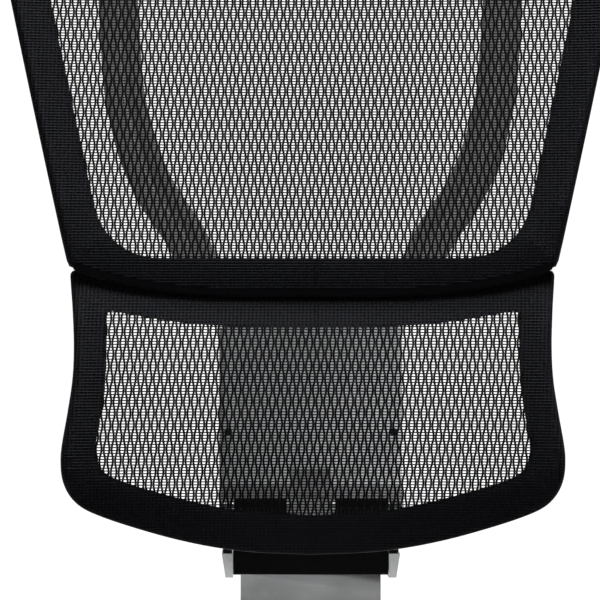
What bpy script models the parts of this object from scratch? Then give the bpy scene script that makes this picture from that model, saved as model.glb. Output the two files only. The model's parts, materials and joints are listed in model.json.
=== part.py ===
"""Two-part mesh chair back: an upper panel on two arms and a sprung lumbar panel, on a height carriage.

The frame: +X is the sitter's left seen from the front, the sitter faces -Y, +Z is up, and the
origin is the centre of the bottom face of the J-bar's foot, which bolts under a seat.
Lengths are in millimetres until add_solid() turns them into metres.
"""

from math import cos, pi, radians, sin, tan

import bmesh
import bpy
from mathutils import Matrix, Vector

MM = 0.001
GAP = 0.3  # between pieces that touch

# Panels, seen from the front
SEAM_Z = 358.7  # the upper panel's lower edge, at the middle
SEAM_RISE = 23.0  # how far that edge climbs to the corners
SEAM_HALF = 198.0
SEAM_POWER = 3.2
SEAM_GAP = 2.0  # the slit between the two panels
UPPER_TOP_Z = 790.0
UPPER_TOP_ARCH = 9.0
UPPER_FOOT_HALF = 201.5  # half width just above the lower corners
UPPER_FOOT_Z = 383.0
UPPER_FLARE = 0.2255
UPPER_FLARE_LOSS = 3.2e-5
SIDE_BAND = 32.0
BOTTOM_BAND_Z = 388.5
TOP_BAND = 33.0
TOP_CORNER_R = 70.0
INNER_CORNER_R = 54.0

# Panels, from the side
PANEL_PLAN_CURVE = 0.00075  # both panels: depth gained per square millimetre from the middle
UPPER_Y = 146.0
UPPER_LEAN = tan(radians(8.0))
LUMBAR_Y = 139.0
LUMBAR_BULGE = 16.0
LUMBAR_MID_Z = 250.0
LUMBAR_HALF = 107.0
UPPER_RIM = 12.0  # thickness of the rims
LUMBAR_RIM = 13.0
ROLL = 0.6  # share of the thickness that a rolled rim's front falls back
TRIM = 4.0
TRIM_PROUD = 0.6
MESH_SET_BACK = 3.0
MESH_T = 2.0
MESH_TAUT = 0.45  # how far the mesh spans straight between its side rails

# Carriage, post and fork
CARRIAGE_HALF = 77.5
CARRIAGE_Y = 205.0
CARRIAGE_BACK = 247.0
CARRIAGE_Z0 = 146.3
CARRIAGE_Z1 = 330.0
WEB_T = 5.0
WALL_T = 9.0
FORK_Z0 = 118.7
FORK_Z1 = 139.0
CHEEK_IN = 66.0
CHEEK_OUT = 75.5
CHEEK_TAPER = 3.2  # narrower at the bottom of each cheek
NECK_HALF = 59.5
POST_HALF = 50.0
POST_Y0 = 216.0
POST_Y1 = 230.0
POST_Z1 = 318.0
NOTCH = 10.0  # pitch of the rack
NOTCH_DEPTH = 3.0
HUB_Z1 = 384.0
BAR_T = 16.0
FOOT_HALF = 85.0
BEND_R = 95.0

# Hinge of the lumbar panel
HINGE_Y = 190.0
HINGE_Z = 180.5
PIN_R = 3.5
BARREL_R = 6.5

# Pawl
PAWL_Y = 243.0
PAWL_Z = 260.8

MATERIALS = {
    "knit": ((0.012, 0.013, 0.016), 0.85, 0.0),
    "black_plastic": ((0.015, 0.015, 0.016), 0.45, 0.0),
    "dark_plastic": ((0.045, 0.046, 0.048), 0.5, 0.0),
    "polished_alloy": ((0.80, 0.81, 0.82), 0.22, 1.0),
    "steel": ((0.55, 0.55, 0.56), 0.35, 1.0),
    "black_screw": ((0.03, 0.03, 0.032), 0.4, 1.0),
    "rubber": ((0.02, 0.02, 0.02), 0.8, 0.0),
    "acetal": ((0.85, 0.85, 0.82), 0.5, 0.0),
}


def clear_scene():
    for thing in list(bpy.data.objects):
        bpy.data.objects.remove(thing, do_unlink=True)


def material(name):
    colour, rough, metal = MATERIALS[name]
    made = bpy.data.materials.get(name) or bpy.data.materials.new(name)
    made.use_nodes = True
    shader = made.node_tree.nodes["Principled BSDF"]
    shader.inputs["Base Color"].default_value = (*colour, 1)
    shader.inputs["Roughness"].default_value = rough
    shader.inputs["Metallic"].default_value = metal
    return made


def add_solid(name, points, faces, stuff, smooth=None, origin=(0, 0, 0)):
    """Make an object from points in millimetres; smooth is the sharp-edge angle in degrees."""
    bm = bmesh.new()
    made = [bm.verts.new((Vector(p) - Vector(origin)) * MM) for p in points]
    for face in faces:
        bm.faces.new([made[i] for i in face])
    bmesh.ops.recalc_face_normals(bm, faces=bm.faces)
    mesh = bpy.data.meshes.new(name)
    bm.to_mesh(mesh)
    bm.free()
    if smooth is not None:
        mesh.shade_smooth()
        mesh.set_sharp_from_angle(angle=radians(smooth))
    thing = bpy.data.objects.new(name, mesh)
    thing.location = Vector(origin) * MM
    mesh.materials.append(material(stuff))
    bpy.context.collection.objects.link(thing)
    return thing


# ---------------------------------------------------------------- shape builders


def prism(name, outline, axis, low, high, stuff, smooth=None, origin=(0, 0, 0)):
    """Extrude an outline along X, Y or Z; the outline's two numbers are the other two axes."""
    count = len(outline)
    place = {
        "X": lambda a, b, t: (t, a, b),
        "Y": lambda a, b, t: (a, t, b),
        "Z": lambda a, b, t: (a, b, t),
    }[axis]
    points = [place(a, b, t) for t in (low, high) for a, b in outline]
    sides = [(i, (i + 1) % count, count + (i + 1) % count, count + i) for i in range(count)]
    ends = [tuple(range(count)), tuple(range(count, 2 * count))]
    return add_solid(name, points, sides + ends, stuff, smooth, origin)


def box(name, low, high, stuff, origin=(0, 0, 0)):
    outline = [(low[0], low[1]), (high[0], low[1]), (high[0], high[1]), (low[0], high[1])]
    return prism(name, outline, "Z", low[2], high[2], stuff, None, origin)


def loft(name, rings, stuff, closed=False, smooth=None, origin=(0, 0, 0)):
    """Join rings of equal length; a closed loft comes back round to its first ring."""
    size = len(rings[0])
    points = [p for ring in rings for p in ring]
    spans = len(rings) if closed else len(rings) - 1
    faces = []
    for r in range(spans):
        a, b = r * size, ((r + 1) % len(rings)) * size
        faces += [(a + i, a + (i + 1) % size, b + (i + 1) % size, b + i) for i in range(size)]
    if not closed:
        faces += [tuple(range(size)), tuple(range((len(rings) - 1) * size, len(rings) * size))]
    return add_solid(name, points, faces, stuff, smooth, origin)


def turned(name, start, axis, profile, stuff, sides=14):
    """Turn (radius, distance along axis) pairs round an axis that starts at a point."""
    along = Vector(axis).normalized()
    across = along.orthogonal().normalized()
    other = along.cross(across)
    rings = []
    for radius, far in profile:
        ring = []
        for i in range(sides):
            a = 2 * pi * i / sides
            ring.append(Vector(start) + along * far + (across * cos(a) + other * sin(a)) * radius)
        rings.append(ring)
    return loft(name, rings, stuff, smooth=40)


def screw(name, seat, axis, head_r, head_h, shank_r, shank, sides=12):
    """A screw whose head rises along axis from a gap above its seat, with a socket in its head."""
    profile = [
        (shank_r, -shank),
        (shank_r, GAP),
        (head_r, GAP),
        (head_r, head_h * 0.7),
        (head_r * 0.85, head_h),
        (head_r * 0.5, head_h),
        (head_r * 0.45, head_h * 0.45),
    ]
    return turned(name, seat, axis, profile, "black_screw", sides)


def cut(thing, cutter):
    cutter.hide_render = True
    cutter.display_type = "WIRE"
    modifier = thing.modifiers.new("cut", "BOOLEAN")
    modifier.operation = "DIFFERENCE"
    modifier.object = cutter


def join(thing, other):
    other.hide_render = True
    other.display_type = "WIRE"
    modifier = thing.modifiers.new("join", "BOOLEAN")
    modifier.operation = "UNION"
    modifier.object = other


def drill(thing, name, start, axis, radius, depth, sides=12):
    cut(thing, turned(name, start, axis, [(radius, -1.0), (radius, depth)], "steel", sides))


def fillet(points, radii, steps=6):
    """Round the corners of an open line of points; the two ends stay."""
    line = [Vector(points[0])]
    for before, corner, after, radius in zip(points, points[1:], points[2:], radii):
        before, corner, after = Vector(before), Vector(corner), Vector(after)
        if radius == 0:
            line.append(corner)
            continue
        into, out = (before - corner).normalized(), (after - corner).normalized()
        half = into.angle(out) / 2
        centre = corner + (into + out).normalized() * radius / sin(half)
        first = corner + into * radius / tan(half) - centre
        last = corner + out * radius / tan(half) - centre
        turn = first.angle_signed(last)
        for i in range(steps + 1):
            line.append(centre + Matrix.Rotation(-turn * i / steps, 2) @ first)
    line.append(Vector(points[-1]))
    return line


def spline(points, steps):
    """A smooth curve through the points, with a number of steps between each two."""
    points = [Vector(p) for p in points]
    ends = [points[0] * 2 - points[1], *points, points[-1] * 2 - points[-2]]
    line = []
    for a, b, c, d in zip(ends, ends[1:], ends[2:], ends[3:]):
        for i in range(steps):
            t = i / steps
            ahead = (c - a) * t + (a * 2 - b * 5 + c * 4 - d) * t**2
            line.append(b + (ahead + (b * 3 - a - c * 3 + d) * t**3) / 2)
    return line + [points[-1]]


def resample(line, count):
    """Count points at even distances along a line, without its last one."""
    lengths = [0.0]
    for a, b in zip(line, line[1:]):
        lengths.append(lengths[-1] + (b - a).length)
    made, at = [], 0
    for i in range(count):
        want = lengths[-1] * i / count
        while lengths[at + 1] < want:
            at += 1
        share = (want - lengths[at]) / (lengths[at + 1] - lengths[at])
        made.append(line[at].lerp(line[at + 1], share))
    return made


# ---------------------------------------------------------------- panels


def seam_z(x):
    return SEAM_Z + SEAM_RISE * (abs(x) / SEAM_HALF) ** SEAM_POWER


def upper_half(z):
    rise = z - UPPER_FOOT_Z
    return UPPER_FOOT_HALF + UPPER_FLARE * rise - UPPER_FLARE_LOSS * rise**2


def upper_y(x, z):
    return UPPER_Y + UPPER_LEAN * (z - SEAM_Z) - PANEL_PLAN_CURVE * x**2


def lumbar_y(x, z):
    bow = (z - LUMBAR_MID_Z) / LUMBAR_HALF
    return LUMBAR_Y + LUMBAR_BULGE * bow**2 - PANEL_PLAN_CURVE * x**2


def both_sides(bottom, side, top, counts):
    """A whole outline from its right half in three stretches, anticlockwise from the bottom."""
    right = [p for part, n in zip((bottom, side, top), counts) for p in resample(part, n)]
    left = [Vector((-p.x, p.y)) for p in right[1:]]
    return [*right, top[-1], *reversed(left)]


def upper_outlines(counts=(9, 13, 8)):
    seam = [(x, seam_z(x)) for x in [SEAM_HALF * (i / 12) ** 0.7 for i in range(12)]]
    corner = (UPPER_FOOT_HALF - 0.8, seam_z(SEAM_HALF) - 1.0)
    heights = [UPPER_FOOT_Z + 20 + i * 45 for i in range(7)]
    side = [(upper_half(z), z) for z in heights]
    top = (upper_half(UPPER_TOP_Z) - 1.5, UPPER_TOP_Z - UPPER_TOP_ARCH)
    arch = [(x, UPPER_TOP_Z - UPPER_TOP_ARCH * (x / top[0]) ** 2) for x in (150, 100, 50)]
    outer_line = fillet(
        [*seam, corner, *side, top, *arch, (0, UPPER_TOP_Z)],
        [0] * 11 + [5.0] + [0] * 7 + [TOP_CORNER_R] + [0] * 3,
    )
    inner_top = UPPER_TOP_Z - TOP_BAND
    inside = [(upper_half(z) - SIDE_BAND, z) for z in [UPPER_FOOT_Z + 60 + i * 50 for i in range(5)]]
    foot = (upper_half(BOTTOM_BAND_Z) - SIDE_BAND, BOTTOM_BAND_Z)
    head = (upper_half(inner_top) - SIDE_BAND - 1.5, inner_top - UPPER_TOP_ARCH * 0.7)
    inner_line = fillet(
        [(0, BOTTOM_BAND_Z), foot, *inside, head, (90, inner_top - 1.2), (0, inner_top)],
        [INNER_CORNER_R] + [0] * 5 + [TOP_CORNER_R - 22, 0],
        8,
    )
    return (
        both_sides(*split(outer_line, corner, top), counts),
        both_sides(*split(inner_line, foot, head), counts),
    )


def split(line, first, second):
    """Cut a line into three where it passes nearest to two points."""
    a, b = (min(range(len(line)), key=lambda i: (line[i] - Vector(p)).length) for p in (first, second))
    return line[: a + 1], line[a : b + 1], line[b:]


def lumbar_outlines(counts=(10, 11, 8)):
    top_corner = (200.5, seam_z(SEAM_HALF) - SEAM_GAP - 0.5)
    turn = (200.2, 194.0)
    outside = [
        (0, 141.6),
        (43, 143.4),
        (78, 147.6),
        (114, 155.5),
        (150, 166.4),
        (176, 176.0),
        (190.8, 183.8),
        turn,
        (205.4, 207.0),
        (206.6, 221.7),
        (205.4, 235.6),
        (200.8, 262.0),
        (197.0, 289.0),
        (196.2, 316.0),
        (197.6, 345.0),
        (199.4, 366.0),
    ]
    seam = [(x, seam_z(x) - SEAM_GAP) for x in [SEAM_HALF * (i / 12) ** 0.7 for i in range(11, -1, -1)]]
    rounded = fillet([(199.4, 366.0), top_corner, seam[0]], [5.0])[1:-1]
    outer_line = [*spline(outside, 5), *rounded, *[Vector(p) for p in seam]]
    inner_turn = (171.0, 211.4)
    inner_corner = (170.6, 345.6)
    inside = [(0, 174.6), (61, 179.3), (96.4, 186.0), (131.6, 195.6), (157.0, 204.0), inner_turn]
    inside += [(177.0, 221.0), (178.6, 231.5), (177.0, 244.6), (172.6, 271.0), (170.2, 298.0)]
    top = [(150.0, 341.6), (114.4, 335.8), (78.3, 332.6), (0, 330.9)]
    inner_line = [
        *spline(inside, 5),
        *fillet([inside[-1], inner_corner, top[0]], [4.0])[1:-1],
        *spline(top, 4),
    ]
    return (
        both_sides(*split(outer_line, turn, top_corner), counts),
        both_sides(*split(inner_line, inner_turn, inner_corner), counts),
    )


def upper_roll(z):
    """How far the rim's front rolls back towards its outer edge: all the way along the bottom."""
    return max(0.0, min(1.0, (430 - z) / 45))


def lumbar_roll(z):
    """The lumbar rim rolls under along its bottom and back along its top."""
    return max(0.0, min(0.8, (215 - z) / 50), min(0.5, (z - 335) / 60))


def frame_ring(name, outlines, depth, roll, thick, stuff):
    """A rim with rounded edges between two outlines, on a curved surface."""
    section = [
        (0.0, 0.35),
        (0.03, 0.1),
        (0.12, 0.0),
        (0.4, 0.0),
        (0.86, 0.0),
        (0.97, 0.12),
        (1.0, 0.4),
        (1.0, 0.8),
        (0.9, 1.0),
        (0.1, 1.0),
        (0.0, 0.8),
    ]
    rings = []
    for outer, inner in zip(*outlines):
        ring = []
        for share, back in section:
            p = outer.lerp(inner, share)
            rolled = ROLL * roll(outer.y) * (1 - share) ** 1.5 * (1 - back)
            ring.append((p.x, depth(p.x, p.y) + (back + rolled) * thick, p.y))
        rings.append(ring)
    return loft(name, rings, stuff, closed=True, smooth=50)


def trim_ring(name, outlines, depth, start, stuff):
    """The clip that holds the mesh: a lip behind the rim that stands a little proud of it."""
    rings = []
    for outer, inner in zip(*outlines):
        away = (outer - inner).normalized()
        lip = outer + away * TRIM_PROUD
        hem = outer.lerp(inner, 0.45)
        ring = []
        for p, back in ((lip, 0.6), (lip, TRIM - 1.4), (outer, TRIM), (hem, TRIM), (hem, 0)):
            ring.append((p.x, depth(p.x, p.y) + start + 2 * GAP + back, p.y))
        rings.append(ring)
    return loft(name, rings, stuff, closed=True, smooth=50)


def mesh_sheet(name, inner, depth, stuff):
    """The stretched mesh as a thin closed sheet inside the rim's opening."""
    centre = sum(inner, Vector((0, 0))) / len(inner)
    low, high = min(p.y for p in inner), max(p.y for p in inner)

    def surface(p):
        up = max(0.0, min(1.0, (p.y - low) / (high - low)))
        half = max(abs(q.x) for q in inner if abs(q.y - p.y) < 30)
        taut = MESH_TAUT * 4 * up * (1 - up) * PANEL_PLAN_CURVE * max(0.0, half**2 - p.x**2)
        return depth(p.x, p.y) + MESH_SET_BACK - taut

    shares = (1.0, 0.75, 0.5, 0.25)
    count = len(inner)
    points, faces = [], []
    for back in (0.0, MESH_T):
        for share in shares:
            for p in inner:
                q = centre.lerp(p, share) - (p - centre).normalized() * GAP * share
                points.append((q.x, surface(q) + back, q.y))
        points.append((centre.x, surface(centre) + back, centre.y))
    layer = len(shares) * count + 1
    for side in range(2):
        start = side * layer
        for r in range(len(shares) - 1):
            for i in range(count):
                j = (i + 1) % count
                a, b = start + r * count, start + (r + 1) * count
                faces.append((a + i, a + j, b + j, b + i))
        last = start + (len(shares) - 1) * count
        faces += [(last + i, last + (i + 1) % count, start + layer - 1) for i in range(count)]
    faces += [(i, (i + 1) % count, layer + (i + 1) % count, layer + i) for i in range(count)]
    return add_solid(name, points, faces, stuff, smooth=50)


def upper_panel():
    outlines = upper_outlines()
    frame_ring("upper_frame", outlines, upper_y, upper_roll, UPPER_RIM, "knit")
    trim_ring("upper_trim", outlines, upper_y, UPPER_RIM, "black_plastic")
    mesh_sheet("upper_mesh", outlines[1], upper_y, "knit")


def lumbar_panel():
    outlines = lumbar_outlines()
    frame_ring("lumbar_frame", outlines, lumbar_y, lumbar_roll, LUMBAR_RIM, "knit")
    trim_ring("lumbar_trim", outlines, lumbar_y, LUMBAR_RIM, "black_plastic")
    mesh_sheet("lumbar_mesh", outlines[1], lumbar_y, "knit")


# ---------------------------------------------------------------- fork, post and foot


def j_bar():
    """The cast bar: a flat foot, a bend, a neck and a fork with two cheeks."""
    post_mid = (POST_Y0 + POST_Y1) / 2
    bend_y = post_mid - BEND_R
    outer, inner = [], []
    for i in range(9):
        a = pi / 2 * i / 8
        for line, radius in ((outer, BEND_R + BAR_T / 2), (inner, BEND_R - BAR_T / 2)):
            line.append((bend_y + radius * sin(a), BEND_R + BAR_T / 2 - radius * cos(a)))
    profile = [(-FOOT_HALF, 0), *outer, (post_mid + BAR_T / 2, FORK_Z0 + 2)]
    profile += [(post_mid - BAR_T / 2, FORK_Z0 + 2), *reversed(inner), (-FOOT_HALF, BAR_T)]
    bar = prism("jbar", profile, "X", -NECK_HALF, NECK_HALF, "polished_alloy", 30)
    wall_half = CHEEK_OUT - CHEEK_TAPER
    back = (
        (-wall_half, POST_Y1 + GAP, FORK_Z0),
        (wall_half, CARRIAGE_BACK, FORK_Z1),
    )
    join(bar, box("jbar_back_wall", *back, "polished_alloy"))
    for side in (-1, 1):
        outline = [
            (side * CHEEK_IN, FORK_Z0),
            (side * (CHEEK_OUT - CHEEK_TAPER), FORK_Z0),
            (side * CHEEK_OUT, FORK_Z1),
            (side * CHEEK_IN, FORK_Z1),
        ]
        cheek = prism("jbar_cheek", outline, "Y", CARRIAGE_Y - 1, CARRIAGE_BACK - 4, "polished_alloy")
        join(bar, cheek)
    for x in (-35, 35):
        for y in (-60, 60):
            drill(bar, "foot_hole", (x, y, BAR_T), (0, 0, -1), 4.6, BAR_T + 1)
    for x in (-30, 30):
        drill(bar, "post_hole", (x, CARRIAGE_BACK, 130), (0, -1, 0), 3.4, 18)


def foot_bolts():
    count = 0
    for y in (-60, 60):
        for x in (-35, 35):
            count += 1
            screw(f"foot_bolt_{count}", (x, y, BAR_T), (0, 0, 1), 7.5, 5.5, 4.0, BAR_T - 0.5)


def post_and_rack():
    low = FORK_Z0 + 2 + GAP
    edge = 6
    outline = [(-POST_HALF, low), (POST_HALF, low), (POST_HALF, POST_Z1 - edge)]
    outline += [(POST_HALF - edge, POST_Z1), (-POST_HALF + edge, POST_Z1), (-POST_HALF, POST_Z1 - edge)]
    post = prism("post", outline, "Y", POST_Y0, POST_Y1, "steel")
    for x in (-32, 32):
        slot = fillet([(x - 7, 225), (x - 7, 180), (x + 7, 180), (x + 7, 270), (x - 7, 270), (x - 7, 225)], [6.9] * 4, 4)
        cut(post, prism("post_slot", slot[:-1], "Y", POST_Y0 - 2, POST_Y1 + 2, "steel"))
    for x in (-30, 30):
        drill(post, "post_thread", (x, POST_Y1 + 2, 130), (0, -1, 0), 3.4, 9)
        screw(f"post_bolt_{'left' if x < 0 else 'right'}", (x, CARRIAGE_BACK, 130), (0, 1, 0), 6.0, 4.5, 3.0, 20)
    rack_y = POST_Y1 + GAP
    teeth = [(rack_y, 150), (rack_y + 6, 150)]
    for i in range(13):
        z = 160 + i * NOTCH
        teeth += [(rack_y + 6, z), (rack_y + 6 - NOTCH_DEPTH, z + 0.5), (rack_y + 6 - NOTCH_DEPTH, z + 4)]
        teeth += [(rack_y + 6, z + 7)]
    teeth += [(rack_y + 6, 300), (rack_y, 300)]
    rack = prism("rack", teeth, "X", -14, 14, "steel")
    for where, z in (("low", 155), ("high", 293)):
        drill(rack, "rack_hole", (0, rack_y + 6, z), (0, -1, 0), 2.6, 9)
        drill(rack, "rack_pocket", (0, rack_y + 6, z), (0, -1, 0), 4.2, 2.8)
        screw(f"rack_screw_{where}", (0, rack_y + 3.2, z), (0, 1, 0), 3.9, 2.4, 2.2, 2.5)


def fork_cover():
    """The black plate between the cheeks, a little bowed, with a lip along its top."""
    low, high = FORK_Z0 + 2 + GAP, FORK_Z1 + 4.0
    rings = []
    for i in range(13):
        x = (CHEEK_IN - GAP) * (i / 6 - 1)
        front = CARRIAGE_Y + 1.2 + 2.0 * (x / CHEEK_IN) ** 2
        rings.append(
            [
                (x, front, low),
                (x, POST_Y0 - GAP, low),
                (x, POST_Y0 - GAP, high),
                (x, front + 2.0, high),
                (x, front, high - 2.5),
            ]
        )
    loft("fork_cover", rings, "black_plastic", smooth=30)


def bumpers():
    for name, side in (("left", -1), ("right", 1)):
        middle = (CHEEK_IN + CHEEK_OUT) / 2
        outline = []
        for y, turn in ((CARRIAGE_Y + 8, pi), (CARRIAGE_BACK - 9, 0)):
            outline += [
                (side * middle + 3.9 * cos(turn + pi * i / 8), y + 3.9 * sin(turn + pi * i / 8))
                for i in range(9)
            ]
        prism(f"bumper_{name}", outline, "Z", FORK_Z1 + GAP, CARRIAGE_Z0 - GAP, "rubber", 40)


# ---------------------------------------------------------------- carriage


def carriage():
    inside = CARRIAGE_HALF - WALL_T
    right = [
        (CARRIAGE_HALF - 4, CARRIAGE_Y),
        (CARRIAGE_HALF - 1.2, CARRIAGE_Y + 1.2),
        (CARRIAGE_HALF, CARRIAGE_Y + 4),
        (CARRIAGE_HALF, CARRIAGE_BACK),
        (inside, CARRIAGE_BACK),
        (inside, CARRIAGE_Y + WEB_T + 3),
        (inside - 3, CARRIAGE_Y + WEB_T),
    ]
    outline = [*right, *[(-x, y) for x, y in reversed(right)]]
    body = prism("carriage", outline, "Z", CARRIAGE_Z0, CARRIAGE_Z1, "polished_alloy", 40)
    for name, side in (("left", -1), ("right", 1)):
        x = side * (CARRIAGE_HALF - WALL_T / 2 - 3)
        drill(body, "front_hole", (x, CARRIAGE_Y, 242), (0, 1, 0), 2.5, 10)
        screw(f"front_screw_{name}", (x, CARRIAGE_Y, 242), (0, -1, 0), 3.4, 2.2, 2.0, 8)
        end = side * (inside + WALL_T / 2)
        drill(body, "pin_hole", (side * CARRIAGE_HALF, PAWL_Y, PAWL_Z), (-side, 0, 0), 2.6, WALL_T + 2)
        drill(body, "cover_thread", (end, CARRIAGE_BACK, 236), (0, -1, 0), 2.3, 9)
    reach = CARRIAGE_HALF - 1
    turned("pawl_pin", (-reach, PAWL_Y, PAWL_Z), (1, 0, 0), [(2.3, 0), (2.3, 2 * reach)], "steel", 12)


def carriage_cover():
    """A crowned shell that closes the carriage's open back."""
    outer, inner = [], []
    for i in range(13):
        x = CARRIAGE_HALF * (1 - i / 6)
        crown = 8.0 * (1 - (x / CARRIAGE_HALF) ** 2)
        outer.append((x, CARRIAGE_BACK + 3.3 + crown))
        inner.append((x, CARRIAGE_BACK + GAP + max(0.0, crown - 0.4)))
    shell = prism("carriage_cover", [*outer, *reversed(inner)], "Z", CARRIAGE_Z0, CARRIAGE_Z1, "black_plastic", 40)
    for name, side in (("left", -1), ("right", 1)):
        x = side * (CARRIAGE_HALF - WALL_T / 2)
        seat = CARRIAGE_BACK + 4.6
        drill(shell, "cover_hole", (x, CARRIAGE_BACK + 9, 236), (0, -1, 0), 2.6, 12)
        screw(f"cover_screw_{name}", (x, seat, 236), (0, 1, 0), 4.2, 2.6, 2.0, 11)


def guides():
    """Slide liners that wrap the post's edges."""
    wall = CARRIAGE_HALF - WALL_T - GAP
    for name, side in (("left", -1), ("right", 1)):
        outline = [
            (wall - 3, 211),
            (wall, 214.5),
            (wall, 237),
            (44, 237),
            (44, POST_Y1 + GAP),
            (POST_HALF + GAP, POST_Y1 + GAP),
            (POST_HALF + GAP, POST_Y0 - GAP),
            (44, POST_Y0 - GAP),
            (44, 211),
        ]
        outline = [(side * x, y) for x, y in outline]
        prism(f"guide_{name}", outline, "Z", CARRIAGE_Z0 + 2, CARRIAGE_Z1 - 4, "acetal")


def pawl():
    """The catch, made round its pivot; its nose points down and swings forward into the rack."""
    nose_y = POST_Y1 + GAP + 6 + 1.0
    outline = [
        (PAWL_Y - 4.2, PAWL_Z + 4),
        (PAWL_Y - 3.6, PAWL_Z - 13),
        (nose_y, PAWL_Z - 18.8),
        (nose_y, PAWL_Z - 20.6),
        (PAWL_Y - 1.4, PAWL_Z - 21.2),
        (PAWL_Y + 3.0, PAWL_Z - 8),
        (PAWL_Y + 3.4, PAWL_Z + 4),
        (PAWL_Y, PAWL_Z + 6),
    ]
    body = prism("pawl", outline, "X", -11, 11, "steel", None, (0, PAWL_Y, PAWL_Z))
    drill(body, "pawl_bore", (-11, PAWL_Y, PAWL_Z), (1, 0, 0), 2.38, 24)
    leaf = [(249.5, 262), (250.3, 262), (250.3, 246), (248.6, 238), (247.8, 238), (249.5, 246)]
    prism("pawl_spring", leaf, "X", -4, 4, "steel")


# ---------------------------------------------------------------- hub, arms and upper links


def hub():
    right = [(75, CARRIAGE_Z1 + GAP), (76.5, 340.8), (55.5, 359.2), (45, HUB_Z1)]
    outline = [*right, *[(-x, z) for x, z in reversed(right)]]
    block = prism("hub", outline, "Y", CARRIAGE_Y, CARRIAGE_BACK - 2, "dark_plastic")
    edge = block.modifiers.new("edge", "BEVEL")
    edge.width = 1.5 * MM
    edge.segments = 1
    for name, side in (("left", -1), ("right", 1)):
        rows = [(1.0, 0.0), (0.9, 6.0), (0.7, 10.2)]
        profile = [(7.0 * r, d) for r, d in rows]
        turned(f"stop_{name}", (side * 35, CARRIAGE_Y - GAP, 344), (0, -1, 0), profile, "rubber", 16)


def arm_section(centre, forward, normal, width, deep):
    """A ribbed front, round edges and a flat back, seen along the arm."""
    across = forward.cross(normal).normalized()
    shape = [
        (-1.0, 0.1),
        (-0.96, -0.5),
        (-0.8, -0.9),
        (-0.45, -1.0),
        (-0.36, -0.72),
        (0.36, -0.72),
        (0.45, -1.0),
        (0.8, -0.9),
        (0.96, -0.5),
        (1.0, 0.1),
        (0.8, 1.0),
        (-0.8, 1.0),
    ]
    return [centre + across * u * width / 2 + normal * v * deep / 2 for u, v in shape]


def arms():
    """Two bowed arms from the hub's shoulders to the upper frame's top rail."""
    route = [
        (66.4, 225.0, 350.6),
        (81, 226.5, 366),
        (96, 228, 388),
        (109, 229, 412),
        (130, 230, 443),
        (144.5, 230.5, 474),
        (153.5, 230.5, 505),
        (159.5, 229.5, 537),
        (163.5, 226, 600),
        (166, 219.5, 660),
        (168, 211.5, 715),
        (170, 203.5, 768),
    ]
    for name, side in (("left", -1), ("right", 1)):
        line = spline([(side * x, y, z) for x, y, z in route], 2)
        rings = []
        for i, p in enumerate(line):
            share = i / (len(line) - 1)
            ahead = line[min(i + 1, len(line) - 1)] - line[max(i - 1, 0)]
            if i == 0:
                ahead = Vector((side * 18.4, 0, 21))
            blend = max(0.0, share - 0.5) * 2
            normal = Vector((2 * PANEL_PLAN_CURVE * p.x * blend, 1, 0))
            normal = (normal - ahead * normal.dot(ahead) / ahead.length_squared).normalized()
            width = 27 + 8 * min(1.0, share * 4) - 3 * blend
            deep = 22 - 8 * blend
            rings.append(arm_section(p, ahead.normalized(), normal, width, deep))
        arm = loft(f"arm_{name}", rings, "dark_plastic", smooth=35)
        places = (("low", (side * 74, 226, 359), 11.5), ("mid", (side * 169, 207.5, 744), 9), ("top", (side * 169.6, 203.9, 764), 9))
        for where, (x, y, z), half in places:
            seat = (x, y + half, z)
            drill(arm, "arm_hole", (x, y + half + 3, z), (0, -1, 0), 2.9, half + 2)
            screw(f"arm_screw_{name}_{where}", seat, (0, 1, 0), 5.0, 3.2, 2.5, 5)


def slab(name, half, low, high, front, back, stuff, steps=8):
    """A block whose front follows a surface and whose back is flat."""
    rings = []
    for i in range(steps + 1):
        x = half * (2 * i / steps - 1)
        rings.append(
            [
                (x, front(x, low), low),
                (x, back, low),
                (x, back, high),
                (x, front(x, high), high),
            ]
        )
    return loft(name, rings, stuff)


def behind_upper(x, z):
    return upper_y(x, z) + UPPER_RIM + GAP * 3


def behind_lumbar(x, z):
    return lumbar_y(x, z) + LUMBAR_RIM + GAP * 3


def upper_links():
    """The tab in the middle of the seam, and the cover over the headrest's bolt pad."""

    def clear_of_trim(x, z):
        return behind_upper(x, z) + TRIM + GAP

    slab("link_bracket", 36, 366, 381, clear_of_trim, CARRIAGE_Y - GAP, "black_plastic")
    for name, side in (("left", -1), ("right", 1)):
        screw(f"link_screw_{name}", (side * 22, 188, 381), (0, 0, 1), 4.2, 2.6, 2.0, -GAP / 2)
    top = UPPER_TOP_Z - TOP_BAND / 2
    back = clear_of_trim(0, top + 13) + 6
    cover = slab("headrest_cover", 30, top - 13, top + 13, clear_of_trim, back, "black_plastic")
    for name, side in (("left", -1), ("right", 1)):
        drill(cover, "headrest_pocket", (side * 20, back, top), (0, -1, 0), 4.2, 2.8)
        screw(f"headrest_screw_{name}", (side * 20, back - 2.8, top), (0, 1, 0), 3.8, 2.2, 1.8, -GAP / 2)


# ---------------------------------------------------------------- lumbar hinge


def knuckle_outline():
    barrel = []
    for i in range(11):
        a = radians(-60 + i * 24)
        barrel.append((HINGE_Y + BARREL_R * cos(a), HINGE_Z + BARREL_R * sin(a)))
    heel = CARRIAGE_Y - WEB_T - GAP
    plate = 174 + GAP
    return [(plate, 153), (plate + 4, 153), (heel, 168), (heel, 171), *barrel, (plate, 172)]


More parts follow.
